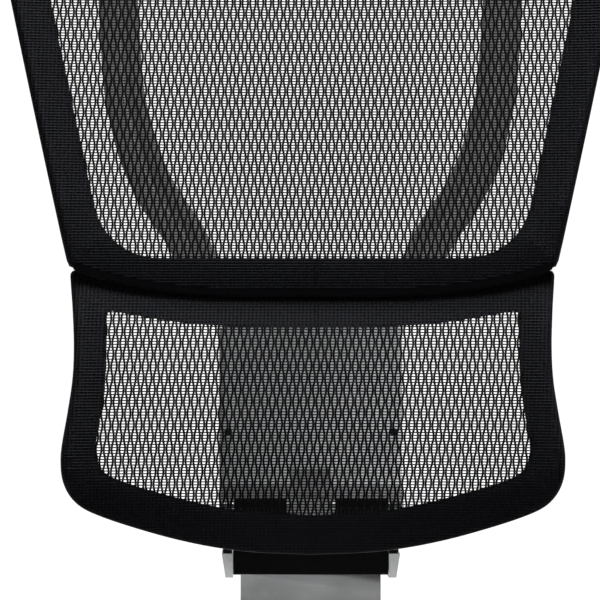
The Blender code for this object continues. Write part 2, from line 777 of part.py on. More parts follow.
def lumbar_hinge():
    plate = box("hinge_bracket", (-CARRIAGE_HALF, CARRIAGE_Y - WEB_T, 164), (CARRIAGE_HALF, CARRIAGE_Y - GAP, 197), "polished_alloy")
    lug = []
    for i in range(9):
        a = pi / 2 + pi * i / 8
        lug.append((HINGE_Y + 7 * cos(a), HINGE_Z + 7 * sin(a)))
    lug = [(CARRIAGE_Y - WEB_T + 1, HINGE_Z + 7), *lug, (CARRIAGE_Y - WEB_T + 1, HINGE_Z - 7)]
    for low, high in ((-17, 17), (73.5, CARRIAGE_HALF), (-CARRIAGE_HALF, -73.5)):
        join(plate, prism("hinge_lug", lug, "X", low, high, "polished_alloy"))
    join(plate, box("hinge_tongue", (-17, CARRIAGE_Y - WEB_T - 4, 190), (17, CARRIAGE_Y - GAP, 211), "polished_alloy"))
    drill(plate, "hinge_bore", (-CARRIAGE_HALF, HINGE_Y, HINGE_Z), (1, 0, 0), PIN_R + GAP, 2 * CARRIAGE_HALF + 1, 20)
    reach = CARRIAGE_HALF - 0.5
    pin = [(PIN_R - 0.6, 0), (PIN_R, 0.6), (PIN_R, 2 * reach - 0.6), (PIN_R - 0.6, 2 * reach)]
    turned("hinge_pin", (-reach, HINGE_Y, HINGE_Z), (1, 0, 0), pin, "steel", 20)
    slab("lumbar_carrier", 86, 150, 170, lambda x, z: behind_lumbar(x, z) + TRIM + GAP, 174, "black_plastic", 12)
    for name, side in (("left", -1), ("right", 1)):
        low, high = sorted((side * 20.6, side * 65.0))
        block = prism(f"knuckle_{name}", knuckle_outline(), "X", low, high, "black_plastic", 35, (0, HINGE_Y, HINGE_Z))
        drill(block, "knuckle_bore", (low, HINGE_Y, HINGE_Z), (1, 0, 0), PIN_R + GAP, 46, 20)
        screw(f"carrier_screw_{name}", (side * 76, 174, 160), (0, 1, 0), 4.0, 2.4, 1.8, -GAP / 2)
        spring(f"spring_{name}", side)


def spring(name, side):
    """A torsion spring round the hinge pin, between a knuckle and its ear."""
    turns, wire, radius = 2.5, 0.8, 5.2
    start, run = 66.6, 5.6
    steps = int(turns * 14)
    rings = []
    for i in range(steps + 1):
        a = 2 * pi * turns * i / steps
        out = Vector((0, cos(a), sin(a)))
        centre = Vector((side * (start + run * i / steps), HINGE_Y, HINGE_Z)) + out * radius
        ring = []
        for k in range(6):
            b = 2 * pi * k / 6
            ring.append(centre + out * wire * cos(b) + Vector((wire * sin(b), 0, 0)))
        rings.append(ring)
    return loft(name, rings, "steel", smooth=60)


clear_scene()
j_bar()
foot_bolts()
post_and_rack()
fork_cover()
bumpers()
carriage()
carriage_cover()
guides()
pawl()
hub()
arms()
upper_panel()
upper_links()
lumbar_panel()
lumbar_hinge()
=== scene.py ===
"""Looks of a two-part mesh chair back: knitted mesh over moulded rims, bowed arms, a satin carriage.

Lengths are in millimetres until mesh_object() turns them into metres. The panels' outlines and
curves repeat the formulas that the CAD part is built from, so the cloth lies on its rims.
"""

import json
from math import cos, pi, radians, sin, tan

import bmesh
import bpy
import numpy as np
from mathutils import Matrix, Vector

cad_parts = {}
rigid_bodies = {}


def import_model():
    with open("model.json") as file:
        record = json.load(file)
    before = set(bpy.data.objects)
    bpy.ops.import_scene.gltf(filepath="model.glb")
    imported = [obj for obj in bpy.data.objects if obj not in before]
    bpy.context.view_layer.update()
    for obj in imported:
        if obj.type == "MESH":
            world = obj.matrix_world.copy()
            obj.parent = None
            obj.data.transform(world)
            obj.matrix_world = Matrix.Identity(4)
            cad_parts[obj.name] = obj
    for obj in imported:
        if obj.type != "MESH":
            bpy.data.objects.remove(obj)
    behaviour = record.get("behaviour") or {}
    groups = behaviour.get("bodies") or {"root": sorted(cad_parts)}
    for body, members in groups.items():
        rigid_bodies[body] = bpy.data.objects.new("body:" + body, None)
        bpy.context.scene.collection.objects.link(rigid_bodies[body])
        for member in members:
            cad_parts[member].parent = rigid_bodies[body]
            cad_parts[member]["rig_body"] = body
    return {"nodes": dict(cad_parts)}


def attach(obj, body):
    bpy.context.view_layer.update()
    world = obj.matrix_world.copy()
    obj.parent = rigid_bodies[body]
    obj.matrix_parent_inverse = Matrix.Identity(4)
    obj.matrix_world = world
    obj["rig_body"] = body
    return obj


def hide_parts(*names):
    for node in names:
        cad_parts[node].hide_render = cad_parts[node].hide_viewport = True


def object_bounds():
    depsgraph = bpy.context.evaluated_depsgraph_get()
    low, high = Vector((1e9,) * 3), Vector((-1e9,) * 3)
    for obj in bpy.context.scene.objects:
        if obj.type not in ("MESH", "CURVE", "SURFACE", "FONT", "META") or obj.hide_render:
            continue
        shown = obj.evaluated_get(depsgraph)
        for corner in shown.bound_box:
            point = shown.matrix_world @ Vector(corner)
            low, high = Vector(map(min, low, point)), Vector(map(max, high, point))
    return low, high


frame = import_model()
cad_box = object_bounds()
nodes = frame["nodes"]

MM = 0.001

# Panels, as in the CAD part
SEAM_Z = 358.7
SEAM_RISE = 23.0
SEAM_HALF = 198.0
SEAM_POWER = 3.2
SEAM_GAP = 2.0
UPPER_TOP_Z = 790.0
UPPER_TOP_ARCH = 9.0
UPPER_FOOT_HALF = 201.5
UPPER_FOOT_Z = 383.0
UPPER_FLARE = 0.2255
UPPER_FLARE_LOSS = 3.2e-5
SIDE_BAND = 32.0
BOTTOM_BAND_Z = 388.5
TOP_BAND = 33.0
TOP_CORNER_R = 70.0
INNER_CORNER_R = 54.0
PLAN_CURVE = 0.00075
UPPER_Y = 146.0
UPPER_LEAN = tan(radians(8.0))
LUMBAR_Y = 139.0
LUMBAR_BULGE = 16.0
LUMBAR_MID_Z = 250.0
LUMBAR_HALF = 107.0
UPPER_RIM = 12.0
LUMBAR_RIM = 13.0
ROLL = 0.6
MESH_TAUT = 0.45

# The knit
PITCH = 6.4  # between two columns of holes
YARN_WIDE = 1.74
YARN_THICK = 0.9
YARN_SWING = 0.68  # how far a yarn sways to each side
SWAY_POWER = 0.6  # below 1, holes are blunt rather than pointed
RIB_WIDE = 3.6  # a yarn where the knit is closed, over the rims
RIB_THICK = 0.4
FILAMENT_WIDE = 0.98
FILAMENT_THICK = 0.5
ROWS_PER_PERIOD = 8  # filaments in one repeat of the holes
UPPER_PERIOD = 18.5
LUMBAR_PERIOD = 19.3
EDGE_R = 5.0  # how tightly the cloth turns round a rim
WRAP_END = 1.9  # radians of that turn before the cloth is clipped
CLOTH_LIFT = 0.45  # the yarns' middle above the rim
RIM_INSET = 0.9  # leaves room for the cloth inside the outline
WRAP_MARGIN = 4.5  # cloth past the outline on each side, for the turn round the rim
THREAD_OVERRUN = 8.0  # how far the level threads are laid past the panel before they are cut
HALF_OVERLAP = 1.6  # how far the left half's level threads run past the right half's ends

# The clip ring behind each rim
CLIP_GAP = 0.6
CLIP_LIP = 0.7  # how far its lip stands out of the outline
CLIP_DEPTH = 0.45  # its width as a share of the band

# The lip along the upper panel's foot
LIP_STEPS = 80
LIP_RISE = 4.0
LIP_HANG = 2.5
LIP_HALF = 0.9  # half its thickness

# Stage and camera, in metres
FLOOR_R = 1.15
MIDDLE = (0, 0.12, 0.4)
CARD_Y = -2.6
VIEW_WIDE = 0.492  # what the picture spans at the panels
VIEW_SIDE = -0.055
VIEW_Z = 0.3537
VIEW_DISTANCE = 2.6
AXIS_OFFSET = 0.01066  # the object's middle line from the picture's
SENSOR = 36

# Arms, as in the CAD part
ARM_ROUTE = [
    (66.4, 225.0, 350.6),
    (81, 226.5, 366),
    (96, 228, 388),
    (109, 229, 412),
    (130, 230, 443),
    (144.5, 230.5, 474),
    (153.5, 230.5, 505),
    (159.5, 229.5, 537),
    (163.5, 226, 600),
    (166, 219.5, 660),
    (168, 211.5, 715),
    (170, 203.5, 768),
]


# ---------------------------------------------------------------- materials


def shader_material(name, colour, rough, metal=0.0, **extra):
    made = bpy.data.materials.new(name)
    made.use_nodes = True
    tree = made.node_tree
    shader = tree.nodes["Principled BSDF"]
    shader.inputs["Base Color"].default_value = (*colour, 1)
    shader.inputs["Roughness"].default_value = rough
    shader.inputs["Metallic"].default_value = metal
    for key, value in extra.items():
        shader.inputs[key.replace("_", " ")].default_value = value
    return made, tree, shader


def add_node(tree, kind, **values):
    node = tree.nodes.new(kind)
    for key, value in values.items():
        if key in node.inputs:
            node.inputs[key].default_value = value
        else:
            setattr(node, key, value)
    return node


def object_space(tree, scale=(1, 1, 1)):
    place = add_node(tree, "ShaderNodeTexCoord")
    mapping = add_node(tree, "ShaderNodeMapping")
    mapping.inputs["Scale"].default_value = scale
    tree.links.new(place.outputs["Object"], mapping.inputs["Vector"])
    return mapping.outputs["Vector"]


def noise(tree, vector, scale, detail=4.0, rough=0.6):
    node = add_node(tree, "ShaderNodeTexNoise", Scale=scale, Detail=detail, Roughness=rough)
    tree.links.new(vector, node.inputs["Vector"])
    return node.outputs["Fac"]


def ramp(tree, factor, low, high, start=0.3, end=0.7):
    node = add_node(tree, "ShaderNodeValToRGB")
    node.color_ramp.elements[0].position = start
    node.color_ramp.elements[1].position = end
    node.color_ramp.elements[0].color = (*low, 1)
    node.color_ramp.elements[1].color = (*high, 1)
    tree.links.new(factor, node.inputs["Fac"])
    return node.outputs["Color"]


def spread(tree, factor, low, high):
    node = add_node(tree, "ShaderNodeMapRange")
    node.inputs["To Min"].default_value = low
    node.inputs["To Max"].default_value = high
    tree.links.new(factor, node.inputs["Value"])
    return node.outputs["Result"]


def bump(tree, shader, height, distance, strength=0.6):
    node = add_node(tree, "ShaderNodeBump", Strength=strength, Distance=distance)
    tree.links.new(height, node.inputs["Height"])
    tree.links.new(node.outputs["Normal"], shader.inputs["Normal"])


def knit_material(name, open_tone_painted_shade, closed_tone, rough, stretch, grain):
    """Black thread with painted shade: a little darker in the open net than in the closed knit, standing for
    the shade the thin round strands cast on themselves; with a fine twist.
    """
    made, tree, shader = shader_material(name, open_tone_painted_shade, rough, Specular_IOR_Level=0.08)
    tone = noise(tree, object_space(tree, stretch), 900.0)
    tree.links.new(spread(tree, tone, rough - 0.1, rough + 0.1), shader.inputs["Roughness"])
    # painted shade: the open net's threads take the darker open tone, which stands for their self-shadowing;
    # over the rims they take the lighter closed tone
    closed = add_node(tree, "ShaderNodeAttribute", attribute_name="closed")
    mix = add_node(tree, "ShaderNodeMix", data_type="RGBA")
    tree.links.new(closed.outputs["Fac"], mix.inputs["Factor"])
    light, dark = 1.25, 0.75
    for key, colour in (("A", open_tone_painted_shade), ("B", closed_tone)):
        shades = [tuple(c * k for c in colour) for k in (dark, light)]
        socket = [s for s in mix.inputs if s.name == key and s.type == "RGBA"][0]
        tree.links.new(ramp(tree, tone, *shades), socket)
    result = [s for s in mix.outputs if s.type == "RGBA"][0]
    tree.links.new(result, shader.inputs["Base Color"])
    twist = add_node(tree, "ShaderNodeTexWave", Scale=grain, Distortion=3.0, Detail=1.0)
    twist.bands_direction = "DIAGONAL"
    tree.links.new(object_space(tree), twist.inputs["Vector"])
    bump(tree, shader, twist.outputs["Fac"], 0.0002, 0.4)
    return made


def rim_material():
    """The closed knit behind the open one: fine upright ribs crossed by short stitches."""
    made, tree, shader = shader_material("rim_knit", (0.012, 0.012, 0.015), 0.85, Specular_IOR_Level=0.1)
    ribs = add_node(tree, "ShaderNodeTexWave", Scale=312.0, Distortion=0.6, Detail=1.0)
    ribs.bands_direction = "X"
    tree.links.new(object_space(tree), ribs.inputs["Vector"])
    stitch = noise(tree, object_space(tree, (1, 1, 2.2)), 520.0, 2.0)
    both = add_node(tree, "ShaderNodeMath", operation="MULTIPLY")
    tree.links.new(ribs.outputs["Fac"], both.inputs[0])
    tree.links.new(stitch, both.inputs[1])
    tree.links.new(
        ramp(tree, both.outputs["Value"], (0.006, 0.006, 0.008), (0.018, 0.019, 0.023), 0.15, 0.6),
        shader.inputs["Base Color"],
    )
    bump(tree, shader, both.outputs["Value"], 0.0004, 0.7)
    return made


def grained_plastic(name, low, high, rough, grain=1400.0, **extra):
    """Moulded plastic with a fine spark-eroded grain and slightly uneven gloss."""
    made, tree, shader = shader_material(name, low, rough, **extra)
    wide = noise(tree, object_space(tree), 22.0, 3.0)
    tree.links.new(ramp(tree, wide, low, high), shader.inputs["Base Color"])
    tree.links.new(spread(tree, wide, rough - 0.06, rough + 0.08), shader.inputs["Roughness"])
    fine = noise(tree, object_space(tree), grain, 2.0, 0.7)
    bump(tree, shader, fine, 0.00012, 0.45)
    return made


def brushed_metal(name, colour, rough, along=(1, 1, 0.02), depth=0.00004, share=1.0):
    """Cast or plated metal, faintly lined and cloudy; share is its metallic part."""
    made, tree, shader = shader_material(name, colour, rough, share)
    lines = noise(tree, object_space(tree, along), 2600.0, 2.0, 0.5)
    cloud = noise(tree, object_space(tree), 30.0, 3.0)
    shade = tuple(c * 0.88 for c in colour)
    tree.links.new(ramp(tree, cloud, shade, colour, 0.25, 0.75), shader.inputs["Base Color"])
    mix = add_node(tree, "ShaderNodeMath", operation="ADD")
    tree.links.new(spread(tree, lines, -0.05, 0.07), mix.inputs[0])
    tree.links.new(spread(tree, cloud, rough - 0.04, rough + 0.05), mix.inputs[1])
    tree.links.new(mix.outputs["Value"], shader.inputs["Roughness"])
    bump(tree, shader, lines, depth, 0.35)
    return made


def make_materials():
    dull = {"Specular_IOR_Level": 0.06}
    # painted shade: the first tone of each pair, for the open net, is darker to stand for the thin strands'
    # self-shadowing
    yarn_tones = (0.006, 0.0062, 0.0073), (0.019, 0.0195, 0.0235)
    filament_tones = (0.007, 0.0073, 0.0085), (0.023, 0.024, 0.029)
    black = (0.006, 0.006, 0.007), (0.012, 0.012, 0.013)
    return {
        "yarn": knit_material("yarn", *yarn_tones, 0.75, (1, 1, 0.35), 420.0),
        "filament": knit_material("filament", *filament_tones, 0.6, (0.3, 1, 1), 700.0),
        "rim": rim_material(),
        # painted highlight: the clip ring's grey, lighter than the black plastic, stands for the light
        # caught along its lip
        "trim": grained_plastic("trim_gloss", (0.16, 0.16, 0.165), (0.22, 0.22, 0.225), 0.3),
        "arm": grained_plastic("arm_nylon", (0.24, 0.24, 0.232), (0.31, 0.31, 0.3), 0.34),
        # painted highlight: the ribs are ridges on the arms, but their pale colour stands for bright lines
        # of light along them
        "arm_rib": brushed_metal("arm_rib", (0.7, 0.7, 0.68), 0.35, share=0.3),
        "plastic": grained_plastic("black_plastic", *black, 0.45, **dull),
        "cover": grained_plastic("cover_plastic", (0.004, 0.004, 0.005), (0.009, 0.009, 0.010), 0.4, **dull),
        "alloy": brushed_metal("polished_alloy", (0.86, 0.87, 0.88), 0.13, share=0.95),
        "satin": brushed_metal("satin_alloy", (0.72, 0.73, 0.74), 0.4, share=0.2),
        "bracket": brushed_metal("bracket_alloy", (0.33, 0.33, 0.34), 0.35, share=0.3),
        "steel": brushed_metal("plated_steel", (0.56, 0.57, 0.59), 0.34, (0.02, 1, 1)),
        "screw": brushed_metal("black_oxide", (0.035, 0.035, 0.038), 0.42),
        "rubber": grained_plastic("rubber", (0.012, 0.012, 0.012), (0.024, 0.024, 0.024), 0.78, 600.0),
        "liner": grained_plastic("acetal", (0.78, 0.78, 0.75), (0.86, 0.86, 0.83), 0.4),
    }


# ---------------------------------------------------------------- mesh helpers


def mesh_object(name, points, quads, stuff, smooth=60, caps=()):
    """A mesh from arrays of points in millimetres and four-sided faces, with optional end caps."""
    mesh = bpy.data.meshes.new(name)
    points = np.asarray(points, np.float32) * MM
    quads = np.asarray(quads, np.int32)
    loops = quads.reshape(-1)
    sizes = [4] * len(quads)
    if len(caps):
        loops = np.concatenate([loops, np.concatenate([np.asarray(c, np.int32) for c in caps])])
        sizes += [len(c) for c in caps]
    sizes = np.asarray(sizes, np.int32)
    mesh.vertices.add(len(points))
    mesh.vertices.foreach_set("co", points.reshape(-1))
    mesh.loops.add(len(loops))
    mesh.loops.foreach_set("vertex_index", loops)
    mesh.polygons.add(len(sizes))
    mesh.polygons.foreach_set("loop_start", np.concatenate([[0], np.cumsum(sizes)[:-1]]).astype(np.int32))
    mesh.update(calc_edges=True)
    mesh.validate()
    mesh.shade_smooth()
    if smooth is not None:
        mesh.set_sharp_from_angle(angle=radians(smooth))
    thing = bpy.data.objects.new(name, mesh)
    mesh.materials.append(stuff)
    bpy.context.scene.collection.objects.link(thing)
    return thing


def facing_out(thing):
    bm = bmesh.new()
    bm.from_mesh(thing.data)
    bmesh.ops.recalc_face_normals(bm, faces=bm.faces)
    bm.to_mesh(thing.data)
    bm.free()
    return thing


def loft(name, rings, stuff, closed=False, smooth=60):
    """Join rings of equal length into a tube, or into a loop when closed."""
    rings = np.asarray(rings, float)
    count, size = rings.shape[:2]
    spans = count if closed else count - 1
    r = np.arange(spans)[:, None]
    i = np.arange(size)[None, :]
    a, b = r * size, ((r + 1) % count) * size
    j = (i + 1) % size
    quads = np.stack([a + i, a + j, b + j, b + i], axis=-1).reshape(-1, 4)
    caps = [] if closed else [list(range(size)), list(range((count - 1) * size, count * size))]
    return facing_out(mesh_object(name, rings.reshape(-1, 3), quads, stuff, smooth, caps))


def tubes(runs, sides):
    """Closed tubes along many lines; a run is points, two half-axes for each, and how closed the knit is."""
    turn = 2 * pi * np.arange(sides) / sides
    points, quads, caps, shades, start = [], [], [], [], 0
    for centre, across, up, shade in runs:
        n = len(centre)
        sideways = across[:, None] * np.cos(turn)[None, :, None]
        upward = up[:, None] * np.sin(turn)[None, :, None]
        ring = centre[:, None] + sideways + upward
        points.append(ring.reshape(-1, 3))
        r = start + np.arange(n - 1)[:, None] * sides
        i = np.arange(sides)[None, :]
        j = (i + 1) % sides
        quads.append(np.stack([r + i, r + j, r + sides + j, r + sides + i], axis=-1).reshape(-1, 4))
        caps.append(list(range(start + sides - 1, start - 1, -1)))
        caps.append(list(range(start + (n - 1) * sides, start + n * sides)))
        shades.append(np.repeat(shade, sides))
        start += n * sides
    return np.concatenate(points), np.concatenate(quads), caps, np.concatenate(shades)


def join_tubes(name, groups):
    """One piece from groups of tubes, each with its own material."""
    points, quads, caps, shades, owners, start = [], [], [], [], [], 0
    for (some, faces, ends, shade), _ in groups:
        points.append(some)
        shades.append(shade)
        quads.append(faces + start)
        caps += [[i + start for i in end] for end in ends]
        owners.append((len(faces), len(ends)))
        start += len(some)
    piece = mesh_object(name, np.concatenate(points), np.concatenate(quads), groups[0][1], None, caps)
    for _, stuff in groups[1:]:
        piece.data.materials.append(stuff)
    # the faces of the sides come first in the mesh, then the end caps
    marks = [np.full(owner[part], k) for part in (0, 1) for k, owner in enumerate(owners)]
    piece.data.polygons.foreach_set("material_index", np.concatenate(marks).astype(np.int32))
    closed = piece.data.attributes.new("closed", "FLOAT", "POINT")
    closed.data.foreach_set("value", np.concatenate(shades).astype(np.float32))
    return piece


# ---------------------------------------------------------------- outlines, as in the CAD part


def seam_z(x):
    return SEAM_Z + SEAM_RISE * (abs(x) / SEAM_HALF) ** SEAM_POWER


def upper_half(z):
    rise = z - UPPER_FOOT_Z
    return UPPER_FOOT_HALF + UPPER_FLARE * rise - UPPER_FLARE_LOSS * rise**2


def fillet(points, radii, steps=6):
    """Round the corners of an open line of points; the two ends stay."""
    line = [Vector(points[0])]
    for before, corner, after, radius in zip(points, points[1:], points[2:], radii):
        before, corner, after = Vector(before), Vector(corner), Vector(after)
        if radius == 0:
            line.append(corner)
            continue
        into, out = (before - corner).normalized(), (after - corner).normalized()
        half = into.angle(out) / 2
        centre = corner + (into + out).normalized() * radius / sin(half)
        first = corner + into * radius / tan(half) - centre
        last = corner + out * radius / tan(half) - centre
        turn = first.angle_signed(last)
        for i in range(steps + 1):
            line.append(centre + Matrix.Rotation(-turn * i / steps, 2) @ first)
    line.append(Vector(points[-1]))
    return line


def spline(points, steps):
    """A smooth curve through the points, with a number of steps between each two."""
    points = [Vector(p) for p in points]
    ends = [points[0] * 2 - points[1], *points, points[-1] * 2 - points[-2]]
    line = []
    for a, b, c, d in zip(ends, ends[1:], ends[2:], ends[3:]):
        for i in range(steps):
            t = i / steps
            ahead = (c - a) * t + (a * 2 - b * 5 + c * 4 - d) * t**2
            line.append(b + (ahead + (b * 3 - a - c * 3 + d) * t**3) / 2)
    return line + [points[-1]]


def resample(line, count):
    """Count points at even distances along a line, without its last one."""
    line = np.array([tuple(p) for p in line])
    along = np.concatenate([[0], np.cumsum(np.linalg.norm(np.diff(line, axis=0), axis=1))])
    at = np.linspace(0, along[-1], count + 1)[:-1]
    return np.stack([np.interp(at, along, line[:, k]) for k in range(line.shape[1])], axis=1)


def both_sides(parts, counts):
    """A whole outline from its right half in three stretches, anticlockwise from the bottom."""
    right = np.concatenate([resample(part, n) for part, n in zip(parts, counts)])
    top = np.array([tuple(parts[-1][-1])])
    return np.concatenate([right, top, right[:0:-1] * (-1, 1)])


def split(line, first, second):
    """Cut a line into three where it passes nearest to two points."""
    a, b = (min(range(len(line)), key=lambda i: (line[i] - Vector(p)).length) for p in (first, second))
    return line[: a + 1], line[a : b + 1], line[b:]


def upper_outlines(counts=(70, 70, 60)):
    seam = [(x, seam_z(x)) for x in [SEAM_HALF * (i / 40) ** 0.7 for i in range(40)]]
    corner = (UPPER_FOOT_HALF - 0.8, seam_z(SEAM_HALF) - 1.0)
    side = [(upper_half(z), z) for z in range(403, 680, 15)]
    top = (upper_half(UPPER_TOP_Z) - 1.5, UPPER_TOP_Z - UPPER_TOP_ARCH)
    arch = [(x, UPPER_TOP_Z - UPPER_TOP_ARCH * (x / top[0]) ** 2) for x in range(170, 0, -10)]
    outer = fillet(
        [*seam, corner, *side, top, *arch, (0, UPPER_TOP_Z)],
        [0] * (len(seam) - 1) + [5.0] + [0] * len(side) + [TOP_CORNER_R] + [0] * len(arch),
        16,
    )
    inner_top = UPPER_TOP_Z - TOP_BAND
    inside = [(upper_half(z) - SIDE_BAND, z) for z in range(443, 660, 15)]
    foot = (upper_half(BOTTOM_BAND_Z) - SIDE_BAND, BOTTOM_BAND_Z)
    head = (upper_half(inner_top) - SIDE_BAND - 1.5, inner_top - UPPER_TOP_ARCH * 0.7)
    inner = fillet(
        [(0, BOTTOM_BAND_Z), foot, *inside, head, (90, inner_top - 1.2), (0, inner_top)],
        [INNER_CORNER_R] + [0] * len(inside) + [TOP_CORNER_R - 22, 0],
        24,
    )
    return both_sides(split(outer, corner, top), counts), both_sides(split(inner, foot, head), counts)


def lumbar_outlines(counts=(70, 70, 60)):
    top_corner = (200.5, seam_z(SEAM_HALF) - SEAM_GAP - 0.5)
    turn = (200.2, 194.0)
    outside = [(0, 141.6), (43, 143.4), (78, 147.6), (114, 155.5), (150, 166.4), (176, 176.0)]
    outside += [(190.8, 183.8), turn, (205.4, 207.0), (206.6, 221.7), (205.4, 235.6)]
    outside += [(200.8, 262.0), (197.0, 289.0), (196.2, 316.0)]
    outside += [(197.6, 345.0), (199.4, 366.0)]
    seam = [(x, seam_z(x) - SEAM_GAP) for x in [SEAM_HALF * (i / 40) ** 0.7 for i in range(39, -1, -1)]]
    rounded = fillet([(199.4, 366.0), top_corner, seam[0]], [5.0], 16)[1:-1]
    outer = [*spline(outside, 12), *rounded, *[Vector(p) for p in seam]]
    inner_turn = (171.0, 211.4)
    inner_corner = (170.6, 345.6)
    inside = [(0, 174.6), (61, 179.3), (96.4, 186.0), (131.6, 195.6), (157.0, 204.0), inner_turn]
    inside += [(177.0, 221.0), (178.6, 231.5), (177.0, 244.6), (172.6, 271.0), (170.2, 298.0)]
    top = [(150.0, 341.6), (114.4, 335.8), (78.3, 332.6), (0, 330.9)]
    eased = fillet([inside[-1], inner_corner, top[0]], [4.0], 10)[1:-1]
    inner = [*spline(inside, 12), *eased, *spline(top, 12)]
    return (
        both_sides(split(outer, turn, top_corner), counts),
        both_sides(split(inner, inner_turn, inner_corner), counts),
    )


# ---------------------------------------------------------------- panels


def nearest_on(points, loop):
    """For each point: its signed distance outside a closed loop, the nearest place and the way out."""
    ahead = np.roll(loop, -1, 0) - loop
    edge_out = np.stack([ahead[:, 1], -ahead[:, 0]], 1) / np.linalg.norm(ahead, axis=1)[:, None]
    corner_out = edge_out + np.roll(edge_out, 1, 0)
    corner_out /= np.linalg.norm(corner_out, axis=1)[:, None]
    found = [np.zeros(0), np.zeros((0, 2)), np.zeros((0, 2))]
    for chunk in np.array_split(points, max(1, len(points) // 3000)):
        off = chunk[:, None] - loop[None]
        t = np.clip((off * ahead).sum(-1) / (ahead * ahead).sum(-1), 0, 1)
        gap = off - t[..., None] * ahead[None]
        far = (gap * gap).sum(-1)
        i = far.argmin(1)
        rows = np.arange(len(chunk))
        share = t[rows, i][:, None]
        place = loop[i] + share * ahead[i]
        out = corner_out[i] * (1 - share) + np.roll(corner_out, -1, 0)[i] * share
        out /= np.linalg.norm(out, axis=1)[:, None]
        side = np.sign(((chunk - place) * out).sum(1))
        found = [
            np.concatenate([found[0], side * np.sqrt(far[rows, i])]),
            np.concatenate([found[1], place]),
            np.concatenate([found[2], out]),
        ]
    return found


